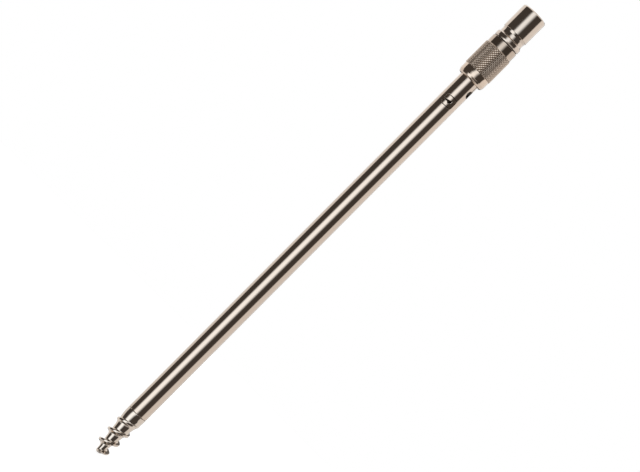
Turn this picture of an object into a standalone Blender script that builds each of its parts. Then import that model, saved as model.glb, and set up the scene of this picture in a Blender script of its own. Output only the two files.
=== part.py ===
"""Telescopic screw-point bank stick: a tubular steel ground stake with an
auger point, a knurled twist-lock collar and a sliding inner stem that carries
a threaded head for a rod rest.

Row frame: +Z runs from the screw point to the head, the origin is the very tip
of the screw point on the tool's axis, and everything is closed (stem fully in).
Lengths are in metres; the numbers in the tables below are millimetres and go
through MM.
"""
import math

import bmesh
import bpy
from mathutils import Matrix

MM = 0.001
SIDES = 24                     # facets round every turned piece, so they all line up

# ---- driving dimensions, in millimetres ---------------------------------
OVERALL = 442.0                # tip to head rim, closed
TUBE_R = 8.0                   # outer tube, outside radius (16 mm tube)
TUBE_BORE_R = 6.8
TUBE_BOTTOM = 39.9
TUBE_TOP = 394.0
STEM_R = 6.0                   # inner stem, 12 mm tube
STEM_BORE_R = 5.0
STEM_BOTTOM = 84.3
STEM_TOP = 424.3
STROKE = 262.0                 # how far the stem slides out

POINT_SHOULDER = 39.6          # where the screw point butts against the tube
SPIGOT_R = 6.6
SPIGOT_TOP = 60.0
FLIGHT_PITCH = 9.75            # auger flight, right-handed
FLIGHT_TOP = 35.4
FLIGHT_BOTTOM = 1.6
FLIGHT_THICK = 1.9
FLIGHT_TOP_ANGLE = 83.0        # degrees round the axis from +X, at FLIGHT_TOP

WINDOW_HALF_WIDE = 4.55        # front window: a rounded rectangle through the wall
WINDOW_HALF_HIGH = 4.35
WINDOW_CORNER = 1.5
WINDOW_Z = 353.9
WINDOW_AZ = 4.0                # degrees from -Y towards +X
SIDE_HOLE_R = 3.35             # round hole, round to the right and higher up
SIDE_HOLE_Z = 367.4
SIDE_HOLE_AZ = 70.0

SLEEVE_R = 7.25                # stop sleeve, in a relief in the bore; seen through both openings
RELIEF_R = 7.35
RELIEF_BOTTOM = 347.2
RELIEF_TOP = 388.8
SLEEVE_BOTTOM = 347.5          # its lower end stops the guide bush
SLEEVE_TOP = 388.6
COLLAR_BOTTOM = 375.4
COLLAR_TOP = 411.4
COLLAR_R = 11.15               # plain bands
KNURL_R = 11.6                 # over the knurl
KNURL_LOW = 383.3
KNURL_HIGH = 404.9
HEAD_BOTTOM = 412.2            # 0.8 mm above the collar when closed
HEAD_R = 10.5
HEAD_FLANGE_R = 10.9
HEAD_NECK_R = 9.75
SOCKET_R = 4.2                 # minor radius of the 3/8 inch accessory thread
SOCKET_FLOOR = 427.6


# ---- scene ---------------------------------------------------------------
for old in list(bpy.data.objects):
    bpy.data.objects.remove(old, do_unlink=True)


def material(name, rgb, rough, metal):
    m = bpy.data.materials.new(name)
    m.use_nodes = True
    p = m.node_tree.nodes["Principled BSDF"]
    p.inputs["Base Color"].default_value = (rgb[0], rgb[1], rgb[2], 1.0)
    p.inputs["Roughness"].default_value = rough
    p.inputs["Metallic"].default_value = metal
    return m


POLISHED = material("polished_steel", (0.66, 0.60, 0.55), 0.12, 1.0)
POINT = material("point_steel", (0.62, 0.57, 0.52), 0.16, 1.0)
KNURLED = material("knurled_steel", (0.60, 0.55, 0.50), 0.22, 1.0)
STEM = material("stem_steel", (0.64, 0.59, 0.54), 0.14, 1.0)
HEAD = material("head_steel", (0.65, 0.59, 0.54), 0.12, 1.0)
BRASS = material("brass", (0.72, 0.54, 0.26), 0.3, 1.0)
ALLOY = material("alloy", (0.72, 0.72, 0.73), 0.35, 1.0)
ZINC = material("zinc_steel", (0.60, 0.60, 0.62), 0.35, 1.0)
NYLON = material("nylon", (0.83, 0.81, 0.75), 0.5, 0.0)
RUBBER = material("black_rubber", (0.02, 0.02, 0.02), 0.7, 0.0)


def empty(name, z, parent=None):
    e = bpy.data.objects.new(name, None)
    e.empty_display_size = 0.01
    bpy.context.scene.collection.objects.link(e)
    e.location = (0.0, 0.0, z * MM)
    if parent is not None:
        e.parent = parent
        e.location.z -= parent.matrix_world.translation.z
    bpy.context.view_layer.update()
    return e


def publish(bm, name, mat, parent, base_z, smooth=True):
    """Make the object, with its own origin on the axis at base_z, under an empty."""
    bmesh.ops.recalc_face_normals(bm, faces=bm.faces[:])
    bm.transform(Matrix.Translation((0.0, 0.0, -base_z * MM)))
    mesh = bpy.data.meshes.new(name)
    bm.to_mesh(mesh)
    bm.free()
    mesh.materials.append(mat)
    if smooth:
        mesh.shade_smooth()
        mesh.set_sharp_from_angle(angle=math.radians(35.0))
    ob = bpy.data.objects.new(name, mesh)
    bpy.context.scene.collection.objects.link(ob)
    if parent is not None:
        ob.parent = parent
        ob.location = (0.0, 0.0, base_z * MM - parent.matrix_world.translation.z)
    else:
        ob.location = (0.0, 0.0, base_z * MM)
    return ob


def turned(profile, closed):
    """Spin (radius, height) points round the axis. A closed profile is a ring's
    section; an open one starts and ends on the axis."""
    bm = bmesh.new()
    rings = []
    for r, z in profile:
        if r <= 1e-9:
            rings.append([bm.verts.new((0.0, 0.0, z * MM))])
        else:
            rings.append([bm.verts.new((r * MM * math.cos(2 * math.pi * i / SIDES),
                                        r * MM * math.sin(2 * math.pi * i / SIDES), z * MM))
                          for i in range(SIDES)])
    pairs = list(zip(rings, rings[1:]))
    if closed:
        pairs.append((rings[-1], rings[0]))
    for a, b in pairs:
        for i in range(SIDES):
            j = (i + 1) % SIDES
            if len(a) == 1 and len(b) == 1:
                continue
            if len(a) == 1:
                bm.faces.new((a[0], b[j], b[i]))
            elif len(b) == 1:
                bm.faces.new((a[i], a[j], b[0]))
            else:
                bm.faces.new((a[i], a[j], b[j], b[i]))
    return bm


def ring(name, mat, parent, r_in, r_out, z0, z1):
    return publish(turned([(r_in, z0), (r_out, z0), (r_out, z1), (r_in, z1)], True),
                   name, mat, parent, z0)


def o_ring(name, mat, parent, major, minor, z):
    section = [(major + minor * math.cos(2 * math.pi * k / 6),
                z + minor * math.sin(2 * math.pi * k / 6)) for k in range(6)]
    return publish(turned(section, True), name, mat, parent, z)


def cutter(name, bm):
    mesh = bpy.data.meshes.new(name)
    bmesh.ops.recalc_face_normals(bm, faces=bm.faces[:])
    bm.to_mesh(mesh)
    bm.free()
    ob = bpy.data.objects.new(name, mesh)
    bpy.context.scene.collection.objects.link(ob)
    ob.hide_render = True
    ob.display_type = 'WIRE'
    return ob


def rod_cutter(name, radius, z, azimuth, start, end, sides=20):
    """A cylinder along the direction azimuth degrees from -Y towards +X."""
    bm = bmesh.new()
    bmesh.ops.create_cone(bm, cap_ends=True, segments=sides, radius1=radius * MM,
                          radius2=radius * MM, depth=(end - start) * MM)
    bm.transform(Matrix.Translation((0.0, 0.0, (start + end) / 2 * MM)))
    bm.transform(Matrix.Rotation(math.radians(90.0), 4, 'X'))      # now along -Y
    bm.transform(Matrix.Rotation(math.radians(azimuth), 4, 'Z'))
    bm.transform(Matrix.Translation((0.0, 0.0, z * MM)))
    return cutter(name, bm)


def box_cutter(name, wide, long, z0, z1, turn):
    bm = bmesh.new()
    bmesh.ops.create_cube(bm, size=1.0)
    bm.transform(Matrix.Diagonal((wide * MM, long * MM, (z1 - z0) * MM, 1.0)))
    bm.transform(Matrix.Rotation(math.radians(turn), 4, 'Z'))
    bm.transform(Matrix.Translation((0.0, 0.0, (z0 + z1) / 2 * MM)))
    return cutter(name, bm)


def window_cutter(name, half_wide, half_high, corner, z, azimuth, start, end):
    """A rounded rectangle swept out along the direction azimuth degrees from -Y towards +X."""
    outline = []
    for sx, sz, first in ((1, 1, 0), (-1, 1, 90), (-1, -1, 180), (1, -1, 270)):
        for step in range(4):
            a = math.radians(first + 30 * step)
            outline.append((sx * (half_wide - corner) + corner * math.cos(a),
                            sz * (half_high - corner) + corner * math.sin(a)))
    bm = bmesh.new()
    near = [bm.verts.new((x * MM, -start * MM, h * MM)) for x, h in outline]
    far = [bm.verts.new((x * MM, -end * MM, h * MM)) for x, h in outline]
    bm.faces.new(near)
    bm.faces.new(far[::-1])
    for i in range(len(outline)):
        j = (i + 1) % len(outline)
        bm.faces.new((near[j], near[i], far[i], far[j]))
    bmesh.ops.recalc_face_normals(bm, faces=bm.faces[:])
    bm.transform(Matrix.Rotation(math.radians(azimuth), 4, 'Z'))
    bm.transform(Matrix.Translation((0.0, 0.0, z * MM)))
    return cutter(name, bm)


def boolean(ob, other, operation='DIFFERENCE'):
    m = ob.modifiers.new(other.name, 'BOOLEAN')
    m.operation = operation
    m.object = other


# ---- the bodies' axes -----------------------------------------------------
outer_axis = empty("axis_outer", 0.0)
collar_axis = empty("axis_collar_twist", COLLAR_BOTTOM, outer_axis)
guide_axis = empty("axis_stem_slide", STEM_BOTTOM, outer_axis)
stem_axis = empty("axis_stem_turn", STEM_BOTTOM, guide_axis)


# ---- screw point: turned spigot, shoulder and tapered core, with one flight
def core_radius(z):
    """Radius of the point's core at height z."""
    table = [(0.0, 1.0), (0.6, 2.1), (2.9, 2.7), (7.9, 3.35), (17.9, 5.05),
             (26.4, 6.3), (32.5, 7.5), (36.5, 8.0), (POINT_SHOULDER, 8.0)]
    for (z0, r0), (z1, r1) in zip(table, table[1:]):
        if z <= z1:
            return r0 + (r1 - r0) * (z - z0) / (z1 - z0)
    return table[-1][1]


point_profile = [(0.0, 0.0)] + [(core_radius(z), z) for z in
                                (0.0, 0.6, 2.9, 7.9, 17.9, 26.4, 32.5, 36.5, POINT_SHOULDER)]
point_profile += [(SPIGOT_R, POINT_SHOULDER), (SPIGOT_R, 49.8), (4.6, 49.8), (4.6, 52.2),
                  (SPIGOT_R, 52.2), (SPIGOT_R, SPIGOT_TOP - 0.8),
                  (SPIGOT_R - 0.8, SPIGOT_TOP), (0.0, SPIGOT_TOP)]
screw_point = publish(turned(point_profile, False), "screw_point", POINT, outer_axis, 0.0)


def flight_radius(z):
    """Outside radius of the flight: level on the shank, drawn in at both ends."""
    if z > 18.0:
        return 7.55 + 0.2 * min(1.0, (z - 18.0) / 12.0)
    if z > 4.3:
        return 6.5 + 1.05 * (z - 4.3) / 13.7
    return 2.8 + 3.7 * max(0.0, (z - FLIGHT_BOTTOM) / (4.3 - FLIGHT_BOTTOM)) ** 0.6


def flight():
    """One helical blade, wound so that its near side climbs to the right."""
    bm = bmesh.new()
    turns = (FLIGHT_TOP - FLIGHT_BOTTOM) / FLIGHT_PITCH
    steps = int(round(turns * 18))
    top_angle = math.radians(FLIGHT_TOP_ANGLE)  # where the blade leaves the shoulder
    rows = []
    for k in range(steps + 1):
        z = FLIGHT_BOTTOM + (FLIGHT_TOP - FLIGHT_BOTTOM) * k / steps
        a = top_angle - 2 * math.pi * (FLIGHT_TOP - z) / FLIGHT_PITCH
        r_out = flight_radius(z)
        r_in = max(0.4, core_radius(z) - 1.0)
        r_in = min(r_in, r_out - 0.4)
        root, tip = FLIGHT_THICK * 0.8, FLIGHT_THICK * 0.42
        row = []
        for r, h in ((r_in, -root), (r_out, -tip), (r_out, tip), (r_in, root)):
            row.append(bm.verts.new((r * MM * math.cos(a), r * MM * math.sin(a), (z + h) * MM)))
        rows.append(row)
    for p, q in zip(rows, rows[1:]):
        for i in range(4):
            j = (i + 1) % 4
            bm.faces.new((p[i], p[j], q[j], q[i]))
    bm.faces.new(rows[0][::-1])
    bm.faces.new(rows[-1])
    bmesh.ops.triangulate(bm, faces=bm.faces[:])
    return cutter("flight_blade", bm)


boolean(screw_point, flight(), 'UNION')

o_ring("spigot_seal", RUBBER, outer_axis, 5.72, 0.95, 51.0)

# ---- outer tube, relieved inside for the stop sleeve, with its two openings ---
outer_tube = publish(turned([(TUBE_BORE_R, TUBE_BOTTOM), (TUBE_R, TUBE_BOTTOM), (TUBE_R, TUBE_TOP),
                             (TUBE_BORE_R, TUBE_TOP), (TUBE_BORE_R, RELIEF_TOP), (RELIEF_R, RELIEF_TOP),
                             (RELIEF_R, RELIEF_BOTTOM), (TUBE_BORE_R, RELIEF_BOTTOM)], True),
                     "outer_tube", POLISHED, outer_axis, TUBE_BOTTOM)
boolean(outer_tube, window_cutter("window", WINDOW_HALF_WIDE, WINDOW_HALF_HIGH, WINDOW_CORNER,
                                  WINDOW_Z, WINDOW_AZ, 3, 12))
boolean(outer_tube, rod_cutter("side_hole", SIDE_HOLE_R, SIDE_HOLE_Z, SIDE_HOLE_AZ, 3, 12))

publish(turned([(0.0, 60.3), (6.0, 60.3), (6.4, 60.8), (6.4, 64.4), (5.6, 65.3), (0.0, 65.3)], False),
        "bump_stop", RUBBER, outer_axis, 60.3)
ring("stop_sleeve", STEM, outer_axis, 6.15, SLEEVE_R, SLEEVE_BOTTOM, SLEEVE_TOP)

# ---- lock: threaded bush on the tube's end, split collet, washer, collar ----
publish(turned([(8.15, 384.0), (9.1, 384.0), (9.4, 384.4), (9.4, 397.1), (9.1, 397.5),
                (7.9, 397.5), (7.0, 394.3), (8.15, 394.3)], True),
        "thread_bush", BRASS, outer_axis, 384.0)

collet = publish(turned([(6.2, 389.0), (6.65, 389.0), (6.65, 394.5), (7.55, 397.9),
                         (7.55, 400.2), (6.2, 400.2)], True),
                 "grip_collet", NYLON, outer_axis, 389.0)
boolean(collet, box_cutter("slit_a", 0.8, 20.0, 391.5, 402.0, 45.0))
boolean(collet, box_cutter("slit_b", 0.8, 20.0, 391.5, 402.0, 135.0))

ring("thrust_washer", BRASS, outer_axis, 6.3, 8.6, 400.5, 401.5)

publish(turned([(9.3, COLLAR_BOTTOM), (10.4, 375.75), (10.95, 376.6), (COLLAR_R, 377.8),
                (COLLAR_R, KNURL_LOW), (KNURL_R, KNURL_LOW + 0.4),
                (KNURL_R, KNURL_HIGH - 0.5), (11.05, KNURL_HIGH),
                (11.05, COLLAR_TOP - 0.4), (10.65, COLLAR_TOP),
                (8.0, COLLAR_TOP), (8.0, 405.0), (6.5, 405.0), (6.5, 401.8),
                (9.7, 401.8), (9.7, 383.2), (8.3, 383.2), (8.3, COLLAR_BOTTOM + 0.5),
                (8.8, COLLAR_BOTTOM)], True),
        "locking_collar", KNURLED, collar_axis, COLLAR_BOTTOM)
publish(turned([(6.15, 405.8), (6.9, 405.3), (7.85, 405.3), (7.85, 408.3), (6.15, 408.3)], True),
        "wiper_seal", RUBBER, collar_axis, 405.3)
ring("wiper_retainer", ZINC, collar_axis, 6.4, 7.85, 408.6, 409.8)

# ---- guide at the stem's foot: turns freely on the end plug's journal -------
publish(turned([(3.7, 71.3), (6.2, 71.3), (6.5, 71.7), (6.5, 73.7), (5.2, 73.7), (5.2, 75.3),
                (6.5, 75.3), (6.5, 78.6), (5.2, 78.6), (5.2, 80.2), (6.5, 80.2),
                (6.5, 82.2), (6.2, 82.6), (3.7, 82.6)], True),
        "guide_bush", NYLON, guide_axis, 71.3)
o_ring("guide_oring_lower", RUBBER, guide_axis, 6.04, 0.62, 74.5)
o_ring("guide_oring_upper", RUBBER, guide_axis, 6.04, 0.62, 79.4)

# ---- stem -------------------------------------------------------------------
ring("inner_stem", STEM, stem_axis, STEM_BORE_R, STEM_R, STEM_BOTTOM, STEM_TOP)
publish(turned([(0.0, 88.0), (2.1, 88.0), (2.1, 71.0), (3.5, 71.0), (3.5, 82.9), (5.9, 82.9),
                (5.9, 84.0), (4.85, 84.0), (4.85, 103.4), (4.25, 104.0), (0.0, 104.0)], False),
        "stem_end_plug", ALLOY, stem_axis, 71.0)
ring("guide_washer", ZINC, stem_axis, 2.2, 5.9, 69.6, 70.7)
publish(turned([(0.0, 67.0), (1.2, 67.0), (2.9, 67.3), (3.5, 68.2), (3.5, 69.3), (1.9, 69.3),
                (1.9, 85.6), (1.4, 86.1), (0.0, 86.1)], False),
        "guide_screw", ZINC, stem_axis, 67.0)

publish(turned([(0.0, 424.6), (6.1, 424.6), (6.1, HEAD_BOTTOM), (7.2, HEAD_BOTTOM), (7.2, 413.4),
                (9.2, 413.4), (9.2, HEAD_BOTTOM), (10.5, HEAD_BOTTOM),
                (HEAD_FLANGE_R, HEAD_BOTTOM + 0.8), (HEAD_FLANGE_R, 415.6),
                (HEAD_NECK_R, 416.7), (HEAD_NECK_R, 419.7),
                (10.12, 421.35), (HEAD_R, 421.75), (HEAD_R, 441.0), (HEAD_R - 0.9, OVERALL),
                (6.6, OVERALL), (6.6, SOCKET_FLOOR), (0.0, SOCKET_FLOOR)], False),
        "head_body", HEAD, stem_axis, HEAD_BOTTOM)
publish(turned([(SOCKET_R, SOCKET_FLOOR + 0.3), (6.5, SOCKET_FLOOR + 0.3), (6.5, OVERALL - 0.3),
                (SOCKET_R + 0.7, OVERALL - 0.3), (SOCKET_R, OVERALL - 1.0)], True),
        "socket_insert", BRASS, stem_axis, SOCKET_FLOOR + 0.3)
ring("head_buffer_ring", RUBBER, stem_axis, 7.4, 9.0, 411.95, 413.1)
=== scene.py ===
import math

import bmesh
import bpy
import numpy as np
from mathutils import Matrix, Vector


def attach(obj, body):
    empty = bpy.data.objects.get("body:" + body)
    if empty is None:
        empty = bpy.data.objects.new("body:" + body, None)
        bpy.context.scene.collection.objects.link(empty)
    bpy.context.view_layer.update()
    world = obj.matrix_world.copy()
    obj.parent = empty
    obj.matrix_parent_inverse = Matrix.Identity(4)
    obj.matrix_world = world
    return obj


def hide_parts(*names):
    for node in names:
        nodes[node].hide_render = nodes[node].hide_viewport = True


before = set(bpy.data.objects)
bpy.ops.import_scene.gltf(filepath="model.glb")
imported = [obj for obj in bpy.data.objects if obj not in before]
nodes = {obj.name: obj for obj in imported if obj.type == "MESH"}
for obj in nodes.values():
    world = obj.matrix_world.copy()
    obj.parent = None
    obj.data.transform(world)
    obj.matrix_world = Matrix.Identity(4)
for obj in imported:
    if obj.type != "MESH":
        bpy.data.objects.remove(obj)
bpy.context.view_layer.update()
MM = 0.001


# =====================================================================
# materials
# =====================================================================
class Graph:
    """A few lines that make node materials readable."""

    def __init__(self, tree):
        self.t = tree

    def node(self, kind, **props):
        n = self.t.nodes.new(kind)
        for k, v in props.items():
            setattr(n, k, v)
        return n

    def put(self, value, socket):
        if isinstance(value, bpy.types.NodeSocket):
            self.t.links.new(value, socket)
        elif value is not None:
            socket.default_value = value

    def math(self, op, a, b=None, c=None, clamp=False):
        n = self.node("ShaderNodeMath", operation=op, use_clamp=clamp)
        for i, v in enumerate((a, b, c)):
            if v is not None:
                self.put(v, n.inputs[i])
        return n.outputs[0]

    def span(self, value, lo, hi, to_lo=0.0, to_hi=1.0, smooth=False):
        n = self.node("ShaderNodeMapRange")
        n.interpolation_type = "SMOOTHSTEP" if smooth else "LINEAR"
        self.put(value, n.inputs[0])
        for i, v in enumerate((lo, hi, to_lo, to_hi)):
            n.inputs[i + 1].default_value = v
        return n.outputs[0]

    def mix(self, factor, a, b, blend="MIX"):
        n = self.node("ShaderNodeMix", data_type="RGBA", blend_type=blend)
        self.put(factor, n.inputs[0])
        self.put(a if isinstance(a, bpy.types.NodeSocket) else (*a, 1.0), n.inputs[6])
        self.put(b if isinstance(b, bpy.types.NodeSocket) else (*b, 1.0), n.inputs[7])
        return n.outputs[2]

    def coords(self, scale):
        t = self.node("ShaderNodeTexCoord")
        m = self.node("ShaderNodeMapping")
        self.put(t.outputs["Object"], m.inputs["Vector"])
        m.inputs["Scale"].default_value = scale
        return m.outputs[0]

    def noise(self, vector, scale, detail=3.0, rough=0.55, distortion=0.0):
        n = self.node("ShaderNodeTexNoise")
        self.put(vector, n.inputs["Vector"])
        n.inputs["Scale"].default_value = scale
        n.inputs["Detail"].default_value = detail
        n.inputs["Roughness"].default_value = rough
        n.inputs["Distortion"].default_value = distortion
        return n.outputs["Fac"]

    def radius(self):
        """Distance from the tool's axis, in millimetres."""
        t = self.node("ShaderNodeTexCoord")
        s = self.node("ShaderNodeSeparateXYZ")
        self.put(t.outputs["Object"], s.inputs[0])
        sq = self.math("ADD", self.math("MULTIPLY", s.outputs[0], s.outputs[0]),
                       self.math("MULTIPLY", s.outputs[1], s.outputs[1]))
        return self.math("MULTIPLY", self.math("SQRT", sq), 1000.0), \
            self.math("MULTIPLY", s.outputs[2], 1000.0)

    def bump(self, height, strength, distance, normal=None):
        n = self.node("ShaderNodeBump")
        self.put(height, n.inputs["Height"])
        n.inputs["Strength"].default_value = strength
        n.inputs["Distance"].default_value = distance
        if normal is not None:
            self.put(normal, n.inputs["Normal"])
        return n.outputs[0]


def new_material(name):
    m = bpy.data.materials.new(name)
    m.use_nodes = True
    m.node_tree.nodes.clear()
    g = Graph(m.node_tree)
    p = g.node("ShaderNodeBsdfPrincipled")
    out = g.node("ShaderNodeOutputMaterial")
    m.node_tree.links.new(p.outputs[0], out.inputs[0])
    return m, g, p


def steel(name, base, rough, grain="length", tone=0.06, bump=0.25, grime_and_painted_shade=None, film=None, seam=None, ring_scale=1.0):
    """Plated or polished steel. grain: 'length' for drawn and buffed tube, 'turned' for lathe rings,
    'both' for a turned part that has also been buffed. grime_and_painted_shade: (r_low, r_high, strength, z_from,
    z_to, black) darkens surfaces by their distance from the axis, between z_from and z_to: grime and painted shade
    in the valleys of a relief, painted shade in recesses and at an opening's edges. film: (z_from, z_to, factor)
    dulls a band that hands have worn. seam: (azimuth, half width, z_from, z_to) is a fine dark line
    along the tool."""
    m, g, p = new_material(name)
    hair = g.noise(g.coords((1.0, 1.0, 0.006)), 5200.0, 2.0, 0.6)          # buffing hairlines along the axis
    streak = g.noise(g.coords((1.0, 1.0, 0.012)), 1100.0, 3.0, 0.6)        # broader drawn streaks
    rings = g.noise(g.coords((0.02, 0.02, 1.0)), 5200.0 * ring_scale, 2.0, 0.5)   # lathe feed marks
    smudge = g.noise(g.coords((1.0, 1.0, 0.45)), 46.0, 4.0, 0.62, 0.6)     # handling film
    fleck = g.noise(g.coords((1.0, 1.0, 1.0)), 900.0, 5.0, 0.7)            # plating grain
    if grain == "length":
        fine = g.math("ADD", g.math("MULTIPLY", hair, 0.5), g.math("MULTIPLY", streak, 0.5))
    elif grain == "turned":
        fine = rings
    else:
        fine = g.math("ADD", g.math("MULTIPLY", rings, 0.55), g.math("MULTIPLY", hair, 0.45))
    lighter = tuple(min(1.0, c * (1 + tone)) for c in base)
    darker = tuple(c * (1 - tone) for c in base)
    colour = g.mix(g.span(fine, 0.32, 0.68), darker, lighter)
    colour = g.mix(g.span(smudge, 0.45, 0.8, 0.0, 0.28), colour, tuple(c * 0.86 for c in base))
    r_mm, z_mm = g.radius()
    # grime and painted shade: surfaces nearer the axis than r_high turn a dark, warm tone
    if grime_and_painted_shade is not None:
        lo, hi, much, z_from, z_to, black = grime_and_painted_shade
        deep = g.span(r_mm, lo, hi, much, 0.0, smooth=True)
        deep = g.math("MULTIPLY", deep, g.math("MULTIPLY", g.math("GREATER_THAN", z_mm, z_from),
                                               g.math("LESS_THAN", z_mm, z_to)))
        broken = deep
        if black > 0.15:
            broken = g.math("MULTIPLY", deep, g.span(fleck, 0.3, 0.62, 0.65, 1.0))
        colour = g.mix(broken, colour, tuple(c * q * black for c, q in zip(base, (1.15, 0.95, 0.75))))
    if film is not None:
        z_from, z_to, factor = film
        band = g.math("MULTIPLY", g.math("GREATER_THAN", z_mm, z_from), g.math("LESS_THAN", z_mm, z_to))
        colour = g.mix(band, colour, tuple(c * factor for c in base))
    if seam is not None:
        az, half, z_from, z_to = seam
        at = g.node("ShaderNodeSeparateXYZ")
        g.put(g.node("ShaderNodeTexCoord").outputs["Object"], at.inputs[0])
        across = g.math("ADD", g.math("MULTIPLY", at.outputs[0], 1000.0 * math.cos(math.radians(az))),
                        g.math("MULTIPLY", at.outputs[1], 1000.0 * math.sin(math.radians(az))))
        line = g.math("MULTIPLY", g.span(g.math("ABSOLUTE", across), half * 0.7, half * 1.3, 1.0, 0.0, smooth=True),
                      g.math("GREATER_THAN", at.outputs[0], 0.0))
        line = g.math("MULTIPLY", line, g.math("MULTIPLY", g.math("GREATER_THAN", z_mm, z_from),
                                               g.math("LESS_THAN", z_mm, z_to)))
        colour = g.mix(line, colour, (0.03, 0.025, 0.02))
    g.put(colour, p.inputs["Base Color"])
    p.inputs["Metallic"].default_value = 1.0
    shade = g.math("ADD", g.span(smudge, 0.3, 0.75, rough * 0.8, rough * 1.35),
                   g.span(fine, 0.3, 0.7, -rough * 0.16, rough * 0.2))
    g.put(shade, p.inputs["Roughness"])
    height = g.math("ADD", g.math("MULTIPLY", fine, 0.8), g.math("MULTIPLY", fleck, 0.2))
    g.put(g.bump(height, bump, 0.000012), p.inputs["Normal"])
    return m


def rubber(name):
    m, g, p = new_material(name)
    grit = g.noise(g.coords((1.0, 1.0, 1.0)), 2600.0, 6.0, 0.7)
    bloom = g.noise(g.coords((1.0, 1.0, 1.0)), 160.0, 4.0, 0.6)
    colour = g.mix(g.span(bloom, 0.4, 0.75), (0.010, 0.010, 0.011), (0.030, 0.029, 0.029))
    g.put(colour, p.inputs["Base Color"])
    g.put(g.span(grit, 0.3, 0.7, 0.45, 0.75), p.inputs["Roughness"])
    g.put(g.bump(grit, 0.5, 0.00003), p.inputs["Normal"])
    return m


def nylon(name):
    m, g, p = new_material(name)
    cloud = g.noise(g.coords((1.0, 1.0, 1.0)), 210.0, 4.0, 0.6)
    mould = g.noise(g.coords((1.0, 1.0, 1.0)), 3200.0, 4.0, 0.6)
    colour = g.mix(g.span(cloud, 0.35, 0.7), (0.78, 0.75, 0.67), (0.86, 0.84, 0.78))
    g.put(colour, p.inputs["Base Color"])
    g.put(g.span(mould, 0.3, 0.7, 0.36, 0.55), p.inputs["Roughness"])
    p.inputs["Subsurface Weight"].default_value = 0.15
    p.inputs["Subsurface Radius"].default_value = (0.002, 0.0016, 0.0012)
    g.put(g.bump(mould, 0.3, 0.00003), p.inputs["Normal"])
    return m


STEEL = (0.585, 0.480, 0.398)
# painted shade: the tube turns dark inside r 7.94 around the window, on its rim, walls and bore
TUBE = steel("tube_polished", STEEL, 0.085, "length", 0.05, 0.22, grime_and_painted_shade=(7.84, 7.94, 0.9, 347.5, 360.5, 0.16),
             seam=(66.0, 0.42, 370.2, 380.0))
POINT = steel("point_plated", (0.62, 0.53, 0.45), 0.09, "both", 0.05, 0.22)
# grime and painted shade: the knurl turns dark in its valleys, below r 11.54
KNURL = steel("collar_plated", (0.60, 0.480, 0.385), 0.085, "both", 0.05, 0.22,
              grime_and_painted_shade=(11.34, 11.54, 0.95, 383.3, 404.6, 0.26),
              film=(404.9, 411.2, 0.78))
STEM = steel("stem_polished", (0.60, 0.50, 0.42), 0.08, "length", 0.04, 0.2)
# painted shade: the sleeve turns near-black in its sunk patch, grooves and recess, below r 7.20
SLEEVE = steel("sleeve_polished", STEEL, 0.085, "length", 0.05, 0.22, grime_and_painted_shade=(6.90, 7.20, 1.0, 347.8, 388.0, 0.02))
HEAD = steel("head_plated", (0.575, 0.480, 0.402), 0.085, "both", 0.045, 0.2)
BRASS = steel("brass_turned", (0.66, 0.44, 0.17), 0.22, "turned", 0.08, 0.45)
ALLOY = steel("alloy_turned", (0.72, 0.72, 0.73), 0.30, "turned", 0.06, 0.45)
ZINC = steel("zinc_passivated", (0.56, 0.57, 0.60), 0.32, "both", 0.10, 0.4)
RUBBER = rubber("rubber_black")
NYLON = nylon("nylon_natural")


# =====================================================================
# mesh helpers. Tables are in millimetres
# =====================================================================
def piece(name, verts, faces, material, body, stands_for=(), sharp=34.0, weld=0.0004):
    """One closed mesh. verts in millimetres; coincident points are welded."""
    mesh = bpy.data.meshes.new(name)
    mesh.from_pydata([tuple(v) for v in (np.asarray(verts, float) * MM)], [], faces)
    bm = bmesh.new()
    bm.from_mesh(mesh)
    bmesh.ops.remove_doubles(bm, verts=bm.verts[:], dist=weld * MM)
    bmesh.ops.dissolve_degenerate(bm, edges=bm.edges[:], dist=1e-8)
    bmesh.ops.recalc_face_normals(bm, faces=bm.faces[:])
    bm.to_mesh(mesh)
    bm.free()
    mesh.materials.append(material)
    mesh.shade_smooth()
    mesh.set_sharp_from_angle(angle=math.radians(sharp))
    ob = bpy.data.objects.new(name, mesh)
    bpy.context.scene.collection.objects.link(ob)
    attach(ob, body)
    if stands_for:
        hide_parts(*stands_for)
    return ob


class Shell:
    """Collects rings and faces; the rings are (radius or radii, z, turn in degrees)."""

    def __init__(self, n):
        self.n, self.v, self.f = n, [], []

    def ring(self, r, z, turn=0.0):
        a = np.radians(turn) + 2 * np.pi * np.arange(self.n) / self.n
        r = np.broadcast_to(np.asarray(r, float), (self.n,))
        z = np.broadcast_to(np.asarray(z, float), (self.n,))
        start = len(self.v)
        self.v.extend(np.stack([r * np.cos(a), r * np.sin(a), z], 1).tolist())
        return start

    def point(self, z):
        self.v.append([0.0, 0.0, z])
        return -len(self.v)          # negative: a single point

    def join(self, a, b, split=None):
        n = self.n
        for i in range(n):
            j = (i + 1) % n
            if a < 0 and b < 0:
                return
            if a < 0:
                self.f.append((-a - 1, b + j, b + i))
            elif b < 0:
                self.f.append((a + i, a + j, -b - 1))
            elif split is not None and split(i):
                self.f.append((a + i, a + j, b + j))
                self.f.append((a + i, b + j, b + i))
            elif split is not None:
                self.f.append((a + i, a + j, b + i))
                self.f.append((a + j, b + j, b + i))
            else:
                self.f.append((a + i, a + j, b + j, b + i))

    def strip(self, rings, closed=False):
        ids = [self.point(q[1]) if np.isscalar(q[0]) and q[0] < 1e-9 else self.ring(*q) for q in rings]
        pairs = list(zip(ids, ids[1:]))
        if closed:
            pairs.append((ids[-1], ids[0]))
        for a, b in pairs:
            self.join(a, b)
        return ids

    def patch(self, points, faces):
        start = len(self.v)
        self.v.extend([list(p) for p in points])
        self.f.extend([tuple(start + i for i in f) for f in faces])


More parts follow.
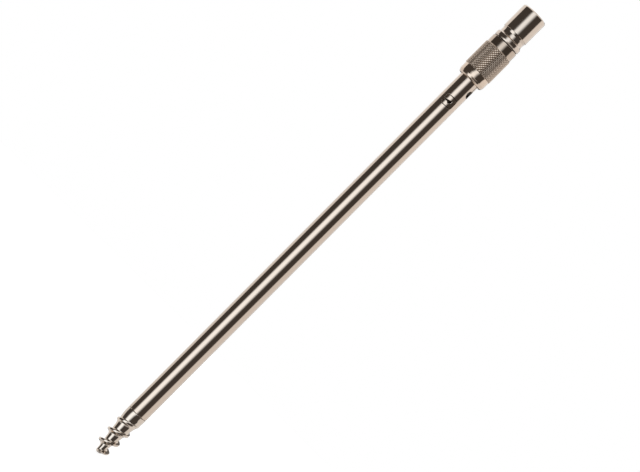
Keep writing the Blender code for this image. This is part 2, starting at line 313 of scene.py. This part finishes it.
def rounded(profile, closed, default=0.12, step=11.0, hold=0.12):
    """Turns a polyline of (r, z[, fillet]) into a smooth section: each corner becomes an arc, and each
    straight keeps a support point near its ends so that shading stays flat along it."""
    pts = [(p[0], p[1]) for p in profile]
    rad = [(p[2] if len(p) > 2 else default) for p in profile]
    n = len(pts)
    arcs = []
    for i in range(n):
        p = np.array(pts[i], float)
        if not closed and i in (0, n - 1):
            arcs.append([p])
            continue
        a, b = np.array(pts[i - 1], float), np.array(pts[(i + 1) % n], float)
        la, lb = np.linalg.norm(a - p), np.linalg.norm(b - p)
        u, v = (a - p) / la, (b - p) / lb
        turn = math.pi - math.acos(max(-1.0, min(1.0, float(u @ v))))
        if rad[i] <= 0 or turn < math.radians(4):
            arcs.append([p])
            continue
        half = (math.pi - turn) / 2
        t = min(rad[i] / math.tan(half), 0.46 * la, 0.46 * lb)
        r = t * math.tan(half)
        w = u + v
        c = p + w / np.linalg.norm(w) * (r / math.sin(half))
        s, e = p + u * t - c, p + v * t - c
        count = max(2, int(math.ceil(math.degrees(turn) / step)))
        a0, a1 = math.atan2(s[1], s[0]), math.atan2(e[1], e[0])
        d = (a1 - a0 + math.pi) % (2 * math.pi) - math.pi
        arcs.append([c + r * np.array([math.cos(a0 + d * k / count), math.sin(a0 + d * k / count)])
                     for k in range(count + 1)])
    out = []
    for i in range(n):
        out.extend(arcs[i])
        if i == n - 1 and not closed:
            break
        s, e = arcs[i][-1], arcs[(i + 1) % n][0]
        length = float(np.linalg.norm(e - s))
        if length > 0.3:
            h = min(hold, 0.3 * length)
            inner = [h / length]
            extra = int(length // 14.0)
            inner += [(k + 1) / (extra + 1) for k in range(extra)]
            inner.append(1 - h / length)
            out.extend([s + (e - s) * f for f in inner])
    return [(max(0.0, float(q[0])), float(q[1])) for q in out]


def turned(name, profile, closed, material, body, stands_for, n=144, default=0.12, turn=0.0):
    sh = Shell(n)
    sh.strip([(r, z, turn) for r, z in rounded(profile, closed, default)], closed)
    return piece(name, sh.v, sh.f, material, body, stands_for)


def tube_ring(name, r0, r1, z0, z1, material, body, stands_for, n=144, default=0.12):
    return turned(name, [(r0, z0), (r1, z0), (r1, z1), (r0, z1)], True, material, body,
                  stands_for, n, default)


def smooth_table(table):
    """A monotone cubic through (x, y) pairs."""
    x = np.array([p[0] for p in table], float)
    y = np.array([p[1] for p in table], float)
    h = np.diff(x)
    d = np.diff(y) / h
    m = np.zeros(len(x))
    for i in range(1, len(x) - 1):
        if d[i - 1] * d[i] > 0:
            w1, w2 = 2 * h[i] + h[i - 1], h[i] + 2 * h[i - 1]
            m[i] = (w1 + w2) / (w1 / d[i - 1] + w2 / d[i])
    m[0], m[-1] = d[0], d[-1]

    def f(q):
        q = min(max(q, x[0]), x[-1])
        i = min(len(x) - 2, int(np.searchsorted(x, q, side="right")) - 1)
        i = max(0, i)
        t = (q - x[i]) / h[i]
        return float(y[i] * (1 + 2 * t) * (1 - t) ** 2 + m[i] * h[i] * t * (1 - t) ** 2
                     + y[i + 1] * t * t * (3 - 2 * t) + m[i + 1] * h[i] * t * t * (t - 1))
    return f


def helical(n, pitch, centre, offsets, radius, z0, z1):
    """A surface of revolution with a helix on it, on rows that follow the helix. centre is the helix's
    height at angle 0; offsets are the rows' distances from it, within half a pitch; radius(w, z, angle)
    is the surface. Returns points and faces."""
    index, points, faces = {}, [], []

    def vertex(row, j):
        k = len(offsets)
        turn, i = divmod(row, k)
        w = offsets[i]
        z = centre + turn * pitch + w + pitch * j / n
        z = min(max(z, z0), z1)
        key = (j % n, round(z, 6))
        if key not in index:
            a = 2 * math.pi * j / n
            r = radius(w, z, a)
            index[key] = len(points)
            points.append((r * math.cos(a), r * math.sin(a), z))
        return index[key]

    k = len(offsets)
    low = int(math.floor((z0 - centre) / pitch) - 2) * k
    high = int(math.ceil((z1 - centre) / pitch) + 2) * k
    for row in range(low, high):
        for j in range(n):
            a, d = vertex(row, j), vertex(row + 1, j)
            if j + 1 < n:
                b, c = vertex(row, j + 1), vertex(row + 1, j + 1)
            else:
                b, c = vertex(row + k, 0), vertex(row + k + 1, 0)
            loop = []
            for q in (a, b, c, d):
                if q not in loop:
                    loop.append(q)
            if len(loop) >= 3:
                faces.append(tuple(loop))
    return points, faces


# =====================================================================
# outer tube with its window and side hole
# =====================================================================
TUBE_R, TUBE_BORE, RELIEF = 8.0, 6.8, 7.35
COLS = 192
STEP = 360.0 / COLS
HALF = 6.3
LOW = dict(z=353.9, az=4.0, a=4.55, b=4.35, power=4.6)         # rounded window
HIGH = dict(z=367.4, az=70.0, a=3.35, b=3.35, power=2.0)       # round hole


def rim(opening, phi, grow):
    """A point of the opening's outline, in the direction phi from its centre, pushed out by grow."""
    a, b, p = opening["a"] + grow, opening["b"] + grow, opening["power"]
    c, s = math.cos(phi), math.sin(phi)
    r = (abs(c / a) ** p + abs(s / b) ** p) ** (-1.0 / p)
    return r * c, r * s


def hole_band(sh, hole, r_surface, outside):
    """Rows z-HALF..z+HALF of one surface, with one opening in it. Angles here are azimuths."""
    base = hole["az"]

    def at(i, k):                      # plain grid point: i columns from the opening's azimuth
        a = math.radians(base + i * STEP)
        return (r_surface * math.sin(a), -r_surface * math.cos(a), hole["z"] + k * HALF / 24)

    for lo in (24, 72, 120):
        pts = [at(i, k) for k in range(-24, 25) for i in range(lo, lo + 49)]
        sh.patch(pts, [(k * 49 + i, k * 49 + i + 1, (k + 1) * 49 + i + 1, (k + 1) * 49 + i)
                       for k in range(48) for i in range(48)])
    edge = [(i, -24) for i in range(-24, 24)] + [(24, k) for k in range(-24, 24)] \
        + [(i, 24) for i in range(24, -24, -1)] + [(-24, k) for k in range(24, -24, -1)]
    soft = 0.09 if outside else 0.05
    sign = -1.0 if outside else 1.0
    t = math.radians(base)
    rings = []
    for m in range(0, 11):
        f = (m / 10.0) ** 0.85
        ring = []
        for i, k in edge:
            x, dz = rim(hole, math.atan2(k, i), soft)
            a = (1 - f) * i * STEP + f * math.degrees(math.asin(x / r_surface))
            aa = math.radians(base + a)
            ring.append((r_surface * math.sin(aa), -r_surface * math.cos(aa),
                         hole["z"] + (1 - f) * k * HALF / 24 + f * dz))
        rings.append(ring)
    steps = [(soft * (1 - math.sin(b)), soft * (1 - math.cos(b))) for b in
             (math.radians(q) for q in (22, 45, 68, 90))]
    steps.append((0.0, soft + 0.06))
    steps.append((0.0, abs(r_surface - (TUBE_R + RELIEF) / 2)))
    for grow, depth in steps:
        rho = r_surface + sign * depth
        ring = []
        for i, k in edge:
            x, dz = rim(hole, math.atan2(k, i), grow)
            y = -math.sqrt(rho * rho - x * x)
            ring.append((x * math.cos(t) - y * math.sin(t), x * math.sin(t) + y * math.cos(t), hole["z"] + dz))
        rings.append(ring)
    count = len(edge)
    pts = [p for ring in rings for p in ring]
    sh.patch(pts, [(m * count + i, m * count + (i + 1) % count, (m + 1) * count + (i + 1) % count,
                    (m + 1) * count + i) for m in range(len(rings) - 1) for i in range(count)])


def build_tube():
    sh = Shell(COLS)
    # an azimuth a is the polar angle a - 90
    low_turn, high_turn = LOW["az"] - 90.0, HIGH["az"] - 90.0 - 35 * STEP
    z_low0, z_low1 = LOW["z"] - HALF, LOW["z"] + HALF
    z_high0, z_high1 = HIGH["z"] - HALF, HIGH["z"] + HALF
    up = list(np.arange(100.0, z_low0 - 5, 20.0))
    inner = [(RELIEF, z_low0), (RELIEF, 347.2), (TUBE_BORE, 347.2), (TUBE_BORE, 346.9)]
    inner += [(TUBE_BORE, z) for z in reversed(up)]
    foot = rounded([(TUBE_BORE, 80.0), (TUBE_BORE, 39.9, 0.15), (TUBE_R, 39.9, 0.28), (TUBE_R, 80.0)], False)
    outer = [(TUBE_R, z) for z in up] + [(TUBE_R, z_low0)]
    sh.strip([(r, z, low_turn) for r, z in inner + foot + outer])
    for r_surface, outside in ((TUBE_R, True), (RELIEF, False)):
        hole_band(sh, LOW, r_surface, outside)
        hole_band(sh, HIGH, r_surface, outside)
        sh.strip([(r_surface, z_low1, low_turn), (r_surface, z_high0, high_turn)])
    top = rounded([(TUBE_R, z_high1), (TUBE_R, 394.0, 0.2), (TUBE_BORE, 394.0, 0.15), (TUBE_BORE, 388.8, 0.0),
                   (RELIEF, 388.8, 0.0), (RELIEF, z_high1)], False)
    sh.strip([(r, z, high_turn) for r, z in top])
    return piece("tube_outer", sh.v, sh.f, TUBE, "outer", ["outer_tube"], sharp=50.0)


build_tube()


# =====================================================================
# screw point
# =====================================================================
PITCH = 9.75
core = smooth_table([(0.0, 0.6), (0.12, 1.25), (0.35, 1.8), (0.8, 2.25), (1.6, 2.55), (2.9, 2.7), (5.2, 3.0),
                     (7.9, 3.35), (12.0, 4.15), (17.9, 5.05), (22.0, 5.65), (26.4, 6.3), (30.0, 6.95),
                     (32.5, 7.5), (34.5, 7.83), (36.5, 7.97), (38.0, 8.0)])
blade = smooth_table([(0.0, 1.6), (0.9, 3.2), (1.8, 4.8), (2.8, 6.0), (4.3, 6.55), (8.4, 7.1), (13.6, 7.4), (18.0, 7.8),
                      (28.0, 7.85), (34.0, 7.95), (38.0, 7.95)])
over = smooth_table([(0.0, 1.0), (0.55, 0.985), (0.70, 0.93), (0.82, 0.78), (0.92, 0.50), (1.02, 0.28), (1.2, 0.12),
                     (1.5, 0.03), (2.0, 0.0), (9.0, 0.0)])
under = smooth_table([(0.0, 1.0), (0.70, 0.985), (0.90, 0.93), (1.10, 0.80), (1.30, 0.58), (1.55, 0.38), (1.9, 0.22),
                      (2.4, 0.10), (3.0, 0.03), (3.9, 0.0), (9.0, 0.0)])


def point_radius(w, z, a):
    c = core(z)
    b = blade(z)
    if b <= c:
        return c
    w += 0.45 * max(0.0, -math.cos(a)) ** 2       # the flight sags a little on its far left
    return c + (b - c) * (over(w) if w > 0 else under(-w))


def lean(z):
    """The point isn't quite true: its axis runs out a little to one side."""
    k = min(1.0, max(0.0, (38.0 - z) / 11.0))
    return 0.34 * k * k * (3 - 2 * k) + 0.4 * max(0.0, (6.0 - z) / 6.0) ** 2


def build_point():
    n = 192
    half = [0.0, 0.2, 0.36, 0.47, 0.58, 0.68, 0.76, 0.84, 0.92, 1.0, 1.1, 1.22, 1.36, 1.55, 1.8, 2.15, 2.6, 3.2, 3.9, 4.5]
    offsets = sorted([-h for h in half if h] + half)
    pts, faces = helical(n, PITCH, 33.15 - 3 * PITCH, offsets, point_radius, 0.0, 38.0)
    bent = []
    for x, y, z in pts:
        bent.append((x - lean(z), y, z))
    sh = Shell(n)
    sh.patch(bent, faces)
    # the bottom ring closes on a point, and the top one runs on into the shank and the hidden spigot
    a = sh.ring(core(0.0), 0.0)
    for i in range(n):
        sh.v[a + i][0] -= lean(0.0)
    tip = len(sh.v)
    sh.v.append([-lean(0.0), 0.0, 0.0])
    for i in range(n):
        sh.f.append((a + (i + 1) % n, a + i, tip))
    shank = rounded([(8.0, 38.0), (8.0, 39.6, 0.28), (6.6, 39.6, 0.1), (6.6, 49.8), (4.6, 49.8), (4.6, 52.2),
                     (6.6, 52.2), (6.6, 59.2, 0.2), (5.8, 60.0, 0.2), (0.0, 60.0)], False)
    sh.strip([(r, z, 0.0) for r, z in shank])
    return piece("point_auger", sh.v, sh.f, POINT, "outer", ["screw_point"], sharp=60.0)


build_point()


# =====================================================================
# locking collar with cut knurl
# =====================================================================
def build_collar():
    n, around = 288, 36
    cell = 2 * math.pi * 11.6 / around
    dz = cell / 8
    sh = Shell(n)
    j = np.arange(n)
    lip = [(9.05 + 1.7 * math.sin(t), 377.05 - 1.65 * math.cos(t)) for t in
           (math.radians(q) for q in range(0, 64, 9))] + [(10.80, 377.0), (10.88, 377.25), (10.93, 377.4), (11.12, 377.86)]
    inner = rounded([(11.05, 408.0), (11.05, 411.4, 0.3), (8.0, 411.4, 0.15), (8.0, 405.0), (6.5, 405.0, 0.1),
                     (6.5, 401.8, 0.1), (9.7, 401.8), (9.7, 383.2), (8.3, 383.2), (8.3, 375.9, 0.2),
                     (8.75, 375.4, 0.15), (9.0, 375.4, 0.0)], False)
    rings = [sh.ring(r, z) for r, z in inner] + [sh.ring(r, z) for r, z in lip]
    for a, b in zip(rings, rings[1:]):
        sh.join(a, b)
    band = [(11.15, 377.93), (11.15, 377.97), (11.15, 378.01), (11.15, 378.06), (11.15, 378.2), (11.15, 380.5), (11.15, 383.0), (11.13, 383.15)]
    low, high = 383.25, 404.75
    count = int(round((high - low) / dz))
    levels = [low + dz * k for k in range(count + 1)]
    last = rings[-1]
    for r, z in band:
        here = sh.ring(r, z)
        sh.join(last, here)
        last = here
    ids = []
    for k, z in enumerate(levels):
        u, v = j / 8.0, k / 8.0

        def tri(x):
            return 2 * np.abs(x - np.round(x))
        m = np.minimum(tri(u + v), tri(u - v))
        relief = 11.32 + 0.28 * (1 - (1 - np.minimum(1.0, m / 0.42)) ** 1.4)
        fade_low = min(1.0, (z - low + 0.12) / 0.55)
        fade_high = min(1.0, (high - z) / 0.62)
        r = 11.08 + (relief - 11.08) * fade_low
        r = np.minimum(r, 11.08 + 0.52 * fade_high)
        ids.append(sh.ring(r, z))
    sh.join(last, ids[0])
    for k in range(len(ids) - 1):
        def diagonal(i, k=k):
            return (i - k) % 8 in (0, 1, 2, 3) if False else ((i - k) % 8 == 0 or not (i + k + 1) % 8 == 0)
        sh.join(ids[k], ids[k + 1], diagonal)
    last = ids[-1]
    for r, z in ((11.05, levels[-1] + 0.12), (11.05, levels[-1] + 0.3), (11.05, 408.0)):
        here = sh.ring(r, z)
        sh.join(last, here)
        last = here
    sh.join(last, rings[0])
    return piece("collar_knurled", sh.v, sh.f, KNURL, "collar", ["locking_collar"], sharp=21.0)


build_collar()


# =====================================================================
# head
# =====================================================================
turned("head_fitting",
       [(0.0, 424.6), (6.1, 424.6), (6.1, 412.2, 0.1), (7.2, 412.2, 0.1), (7.2, 413.4), (9.2, 413.4),
        (9.2, 412.2, 0.1), (10.5, 412.15, 0.06), (10.9, 413.0, 0.06), (10.9, 415.6, 0.1), (9.82, 416.7, 0.35),
        (9.72, 419.6, 0.1), (10.12, 421.45, 0.03), (10.5, 421.6, 0.03),
        (10.5, 441.1, 0.25), (9.6, 442.0, 0.25), (6.6, 442.0, 0.12), (6.6, 427.6), (0.0, 427.6)],
       False, HEAD, "stem", ["head_body"], n=192)


# =====================================================================
# threaded socket
# =====================================================================
def build_socket():
    n, pitch = 128, 1.27
    z0, z1 = 428.0, 441.2
    form = smooth_table([(0.0, 0.5), (0.09, 0.49), (0.16, 0.44), (0.50, 0.05), (0.56, 0.01), (0.635, 0.0)])

    def bore(w, z, a):
        start = min(1.0, max(0.0, (z1 - z) / 0.9))
        cut = form(abs(w)) + 0.0
        return 4.2 + cut * (0.25 + 0.75 * start) + 0.5 * (1 - start) ** 1.5 * (1 - cut)
    half = [0.0, 0.08, 0.16, 0.25, 0.34, 0.43, 0.5, 0.56, 0.6]
    offsets = sorted([-h for h in half if h] + half)
    pts, faces = helical(n, pitch, 428.3, offsets, bore, z0, z1)
    sh = Shell(n)
    sh.patch(pts, faces)
    # the ends: bottom land and top chamfer
    ends = {}
    for q in pts:
        if abs(q[2] - z0) < 1e-6 or abs(q[2] - z1) < 1e-6:
            a = int(round((math.atan2(q[1], q[0]) % (2 * math.pi)) / (2 * math.pi) * n)) % n
            ends[(a, q[2] > 435)] = math.hypot(q[0], q[1])
    bottom = np.array([ends[(i, False)] for i in range(n)])
    top = np.array([ends[(i, True)] for i in range(n)])
    ids = [sh.ring(bottom, z0), sh.ring(4.9, 427.9)]
    for r, z in rounded([(4.9, 427.9), (6.5, 427.9, 0.15), (6.5, 441.7, 0.15), (5.15, 441.7, 0.1), (4.95, 441.5)],
                        False):
        ids.append(sh.ring(r, z))
    ids.append(sh.ring(top, z1))
    for a, b in zip(ids, ids[1:]):
        sh.join(a, b)
    return piece("socket_thread", sh.v, sh.f, BRASS, "stem", ["socket_insert"], sharp=40.0)


build_socket()


# =====================================================================
# stem and the stop sleeve seen through the openings
# =====================================================================
tube_ring("stem_inner", 5.0, 6.0, 84.3, 424.3, STEM, "stem", ["inner_stem"], n=192, default=0.2)


def build_sleeve():
    """The sleeve shows in the window, with a slanted patch sunk into it and a groove at each of the
    window's ends; behind the side hole it has a recess. Its material paints these sunk places near-black
    as painted shade."""
    n = 288
    sh = Shell(n)
    az = (np.arange(n) * 360.0 / n + 180) % 360 - 180            # azimuth of column i
    x = 7.25 * np.sin(np.radians(az))
    front = np.cos(np.radians(az)) > 0.2
    ids = []
    for r, z in rounded([(6.15, 388.6), (6.15, 347.5, 0.1), (7.25, 347.5, 0.2), (7.25, 348.6)], False):
        ids.append(sh.ring(r, z, -90.0))
    for z in [348.9, 349.1, 349.3, 349.45] + list(np.arange(349.6, 358.8, 0.1)) + list(np.arange(359.5, 363.4, 1.2)) \
            + list(np.arange(363.7, 371.2, 0.15)):
        # the sunk patch with a tongue at its foot, and the grooves at z 358.15 and 349.65, stand in for shadow lines:
        # the sleeve's material paints them near-black as painted shadow
        top = 354.68 + 0.24 * x
        foot = 353.30 - 1.15 * np.clip(1 - np.abs(x - 0.40) / 1.5, 0, 1)
        inside = np.minimum(np.minimum((top - z) / 0.22, (z - foot) / 0.22),
                            np.minimum((x + 3.0) / 0.3, (2.1 - x) / 0.3))
        edge = max(0.0, 1 - abs(z - 358.15) / 0.42, 1 - abs(z - 349.65) / 0.42)
        sunk = np.where(front, np.maximum(np.clip(inside + 0.5, 0, 1), min(1.0, 1.6 * edge)), 0.0)
        # the recess behind the side hole, painted near-black as painted shade by the sleeve's material
        away = np.hypot(7.25 * np.sin(np.radians(az - 70.0)), z - 367.4)
        side = np.where(np.cos(np.radians(az - 70.0)) > 0.2, np.clip((3.45 - away) / 0.25, 0, 1), 0.0)
        ids.append(sh.ring(7.25 - 0.42 * sunk - 0.85 * side, z, -90.0))
    for r, z in rounded([(7.25, 371.5), (7.25, 388.6, 0.2), (6.15, 388.6, 0.1), (6.15, 388.2)], False)[:-1]:
        ids.append(sh.ring(r, z, -90.0))
    for p, q in zip(ids, ids[1:]):
        sh.join(p, q)
    sh.join(ids[-1], ids[0])
    return piece("sleeve_stop", sh.v, sh.f, SLEEVE, "outer", ["stop_sleeve"])


build_sleeve()

# =====================================================================
# seals, bushes and the parts of the lock
# =====================================================================
turned("wiper_lip", [(6.15, 405.8, 0.1), (6.9, 405.3, 0.2), (7.85, 405.3), (7.85, 408.3), (6.9, 408.3, 0.2),
                     (6.15, 407.9, 0.1)], True, RUBBER, "collar", ["wiper_seal"])
tube_ring("wiper_cap", 6.4, 7.85, 408.6, 409.8, ZINC, "collar", ["wiper_retainer"], default=0.2)
tube_ring("buffer_ring", 7.4, 9.0, 411.95, 413.1, RUBBER, "stem", ["head_buffer_ring"],
          default=0.35)
turned("lock_bush", [(8.15, 384.0), (9.1, 384.0), (9.4, 384.4), (9.4, 397.1), (9.1, 397.5), (7.9, 397.5),
                     (7.0, 394.3), (8.15, 394.3)], True, BRASS, "outer", ["thread_bush"])
tube_ring("lock_washer", 6.3, 8.6, 400.5, 401.5, BRASS, "outer", ["thrust_washer"], default=0.25)
turned("stem_bumper", [(0.0, 60.3), (6.0, 60.3, 0.3), (6.4, 60.8, 0.3), (6.4, 64.4, 0.4), (5.6, 65.3, 0.4),
                       (0.0, 65.3)], False, RUBBER, "outer", ["bump_stop"])
turned("guide_sleeve", [(3.7, 71.3), (6.2, 71.3), (6.5, 71.7), (6.5, 73.7), (5.2, 73.7), (5.2, 75.3), (6.5, 75.3),
                        (6.5, 78.6), (5.2, 78.6), (5.2, 80.2), (6.5, 80.2), (6.5, 82.2), (6.2, 82.6), (3.7, 82.6)],
       True, NYLON, "guide", ["guide_bush"], default=0.1)
turned("foot_plug", [(0.0, 88.0), (2.1, 88.0), (2.1, 71.0), (3.5, 71.0), (3.5, 82.9), (5.9, 82.9), (5.9, 84.0),
                     (4.85, 84.0), (4.85, 103.4), (4.25, 104.0), (0.0, 104.0)], False, ALLOY, "stem",
       ["stem_end_plug"], default=0.1)
tube_ring("foot_washer", 2.2, 5.9, 69.6, 70.7, ZINC, "stem", ["guide_washer"], default=0.2)
turned("foot_screw", [(0.0, 67.0), (1.2, 67.0, 0.5), (2.9, 67.3, 0.6), (3.5, 68.2, 0.5), (3.5, 69.3), (1.9, 69.3),
                      (1.9, 85.6), (1.4, 86.1), (0.0, 86.1)], False, ZINC, "stem", ["guide_screw"],
       default=0.1)


def o_ring(name, major, minor, z, body, node):
    section = [(major + minor * math.cos(2 * math.pi * k / 20), z + minor * math.sin(2 * math.pi * k / 20), 0.0)
               for k in range(20)]
    sh = Shell(144)
    sh.strip([(r, zz, 0.0) for r, zz, _ in section], True)
    return piece(name, sh.v, sh.f, RUBBER, body, [node])


o_ring("seal_spigot", 5.72, 0.94, 51.0, "outer", "spigot_seal")
o_ring("seal_guide_low", 6.04, 0.61, 74.5, "guide", "guide_oring_lower")
o_ring("seal_guide_high", 6.04, 0.61, 79.4, "guide", "guide_oring_upper")

for name, material in (("grip_collet", NYLON),):
    nodes[name].data.materials.clear()
    nodes[name].data.materials.append(material)


# =====================================================================
# stage, light, camera
# =====================================================================
def build_floor():
    bm = bmesh.new()
    bmesh.ops.create_circle(bm, cap_ends=True, segments=128, radius=1.6)
    mesh = bpy.data.meshes.new("studio_floor")
    bm.to_mesh(mesh)
    bm.free()
    m, g, p = new_material("floor_pale")
    paper = g.noise(g.coords((1.0, 1.0, 1.0)), 35.0, 4.0, 0.6)
    g.put(g.mix(g.span(paper, 0.3, 0.7), (0.29, 0.29, 0.288), (0.31, 0.31, 0.308)), p.inputs["Base Color"])
    p.inputs["Roughness"].default_value = 0.9
    p.inputs["Specular IOR Level"].default_value = 0.0
    p.inputs["Emission Color"].default_value = (1.0, 1.0, 1.0, 1.0)
    p.inputs["Emission Strength"].default_value = 0.88
    mesh.materials.append(m)
    ob = bpy.data.objects.new("studio_floor", mesh)
    bpy.context.scene.collection.objects.link(ob)
    ob.location = (0.0, 0.0, -0.0006)
    ob.visible_glossy = False


build_floor()

world = bpy.data.worlds.new("studio")
bpy.context.scene.world = world
world.use_nodes = True
world.node_tree.nodes.clear()
g = Graph(world.node_tree)
direction = g.node("ShaderNodeTexCoord").outputs["Generated"]
xyz = g.node("ShaderNodeSeparateXYZ")
g.put(direction, xyz.inputs[0])
DEG = 180.0 / math.pi
azimuth = g.math("MULTIPLY", g.math("ARCTAN2", xyz.outputs[0], g.math("MULTIPLY", xyz.outputs[1], -1.0)), DEG)
elevation = g.math("MULTIPLY", g.math("ARCSINE", xyz.outputs[2]), DEG)
# white walls left and right, a dark field in front with one tall softbox in it, white overhead, a pale
# table edge below the dark field and a darker one under that; a dark strip behind shapes the back
wall_left = g.span(azimuth, -108.0, -102.0, 1.0, 0.0, smooth=True)
side_edge = g.math("ADD", g.math("MULTIPLY", g.math("MAXIMUM", elevation, -6.0), 1.1),
                   g.span(elevation, -9.0, -16.0, 0.0, 13.0, smooth=True))
wall_right = g.span(g.math("SUBTRACT", azimuth, side_edge), 63.5, 74.5, 0.0, 1.0, smooth=True)
below = g.span(elevation, -50.0, -58.0, 0.0, 1.0, smooth=True)
near_left = g.span(azimuth, -95.0, -112.0, 0.0, 1.0, smooth=True)
wall = g.math("MAXIMUM", g.math("MAXIMUM", wall_left, wall_right), g.math("MULTIPLY", below, near_left))
behind = g.math("MAXIMUM", g.span(azimuth, 159.0, 163.0, 0.0, 0.9, smooth=True),
                g.span(azimuth, -170.0, -174.0, 0.0, 0.9, smooth=True))
wall = g.math("MULTIPLY", wall, g.math("SUBTRACT", 1.0, behind))
tall = g.math("MINIMUM", g.math("MAXIMUM", elevation, -8.5), 14.0)
down = g.math("MINIMUM", tall, 0.0)
left_edge = g.math("ADD", g.math("ADD", g.math("MULTIPLY", tall, 1.15), -41.3),
                   g.span(elevation, 5.1, 5.7, 0.0, 6.0, smooth=True))
right_edge = g.math("ADD", g.math("ADD", g.math("MULTIPLY", g.math("MAXIMUM", tall, 0.0), 0.7), 8.6),
                    g.math("SUBTRACT", g.math("MULTIPLY", down, 0.85),
                           g.math("MULTIPLY", g.math("MULTIPLY", down, down), 0.09)))
box = g.math("MULTIPLY", g.span(g.math("SUBTRACT", azimuth, left_edge), -8.0, 13.0, 0.0, 1.0, smooth=True),
             g.span(g.math("SUBTRACT", azimuth, right_edge), -18.0, 12.0, 1.0, 0.0, smooth=True))
box = g.math("MULTIPLY", box, g.math("SUBTRACT", 1.0, below))
dome = g.span(elevation, 52.0, 66.0, 0.0, 1.0, smooth=True)
table = g.math("MULTIPLY", g.span(elevation, -33.0, -38.0, 0.0, 0.5, smooth=True), g.math("SUBTRACT", 1.0, below))
field = g.mix(below, (0.077, 0.069, 0.063), (0.045, 0.040, 0.036))
bright = g.span(elevation, 0.0, 8.0, 1.0, 1.16)
walls = g.node("ShaderNodeCombineColor")
for i in range(3):
    g.put(bright, walls.inputs[i])
colour = g.mix(g.math("MAXIMUM", dome, table), field, (1.0, 1.0, 1.0))
colour = g.mix(wall, colour, walls.outputs[0])
glow = g.mix(g.span(elevation, 5.2, 5.9), (1.60, 1.74, 1.86), (1.42, 1.55, 1.66))
colour = g.mix(box, colour, glow)
back = g.node("ShaderNodeBackground")
g.put(colour, back.inputs[0])
back.inputs[1].default_value = 1.0
seen = g.node("ShaderNodeBackground")
seen.inputs[0].default_value = (1.0, 1.0, 1.0, 1.0)
seen.inputs[1].default_value = 1.0
path = g.node("ShaderNodeLightPath")
both = g.node("ShaderNodeMixShader")
g.put(path.outputs["Is Camera Ray"], both.inputs[0])
g.put(back.outputs[0], both.inputs[1])
g.put(seen.outputs[0], both.inputs[2])
out = g.node("ShaderNodeOutputWorld")
g.put(both.outputs[0], out.inputs[0])

cam_data = bpy.data.cameras.new("camera")
cam_data.sensor_width = 36.0
cam_data.lens = 2300.0 / 640.0 * 36.0
cam_data.clip_start, cam_data.clip_end = 0.05, 50.0
cam = bpy.data.objects.new("camera", cam_data)
bpy.context.scene.collection.objects.link(cam)
AX, AZ = 0.70829, 0.70592
turn = Matrix(((AX, -AZ, 0.0), (0.0, 0.0, -1.0), (AZ, AX, 0.0)))
cam.matrix_world = Matrix.Translation((0.00291, -2300 * 0.7143 * MM, 0.22137)) @ turn.to_4x4()
bpy.context.scene.camera = cam
bpy.context.scene.view_settings.view_transform = "Standard"
bpy.context.scene.view_settings.look = "None"
bpy.context.scene.view_settings.exposure = 0.0
bpy.context.scene.view_settings.gamma = 1.0
